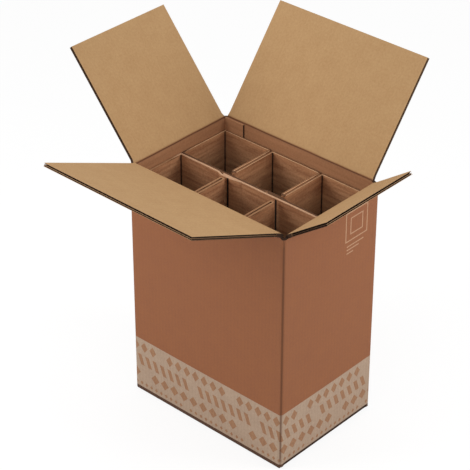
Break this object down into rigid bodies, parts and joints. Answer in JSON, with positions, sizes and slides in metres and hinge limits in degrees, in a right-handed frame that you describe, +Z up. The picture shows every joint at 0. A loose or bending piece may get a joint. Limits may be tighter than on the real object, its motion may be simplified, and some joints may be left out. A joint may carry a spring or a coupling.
{
  "type": "bottle shipping box",
  "caption": "Upright double-wall cardboard shipping carton with four hinged top flaps and two folded rows of bottle cells.",
  "frame": {"origin": "centre of the underside, in the plane it stands on", "axes": "+X along the long walls towards the short flap, +Y towards the back wall, +Z up"},
  "size_m": [0.464, 0.47, 0.5292],
  "materials": {
    "carton_board": "matte brown kraft liner",
    "divider_board": "matte brown kraft liner"
  },
  "bodies": {
    "carton": {"carton_body": "carton_board", "front_cell_row": "divider_board", "back_cell_row": "divider_board"},
    "left_flap": {"left_flap": "carton_board"},
    "right_flap": {"right_flap": "carton_board"},
    "back_flap": {"back_flap": "carton_board"},
    "front_flap": {"front_flap": "carton_board"}
  },
  "joints": [
    {"name": "left_flap_fold", "type": "hinge", "parent": "carton", "child": "left_flap", "pos_m": [-0.1425, 0, 0.3805], "axis": [0, 1, 0], "range_deg": [-135, 130]},
    {"name": "right_flap_fold", "type": "hinge", "parent": "carton", "child": "right_flap", "pos_m": [0.1425, 0, 0.3805], "axis": [0, -1, 0], "range_deg": [-120.5, 144.5]},
    {"name": "back_flap_fold", "type": "hinge", "parent": "carton", "child": "back_flap", "pos_m": [0, 0.09575, 0.38355], "axis": [1, 0, 0], "range_deg": [-82.5, 127.5]},
    {"name": "front_flap_fold", "type": "hinge", "parent": "carton", "child": "front_flap", "pos_m": [0, -0.093, 0.3866], "axis": [-1, 0, 0], "range_deg": [-53.5, 156.5]}
  ]
}
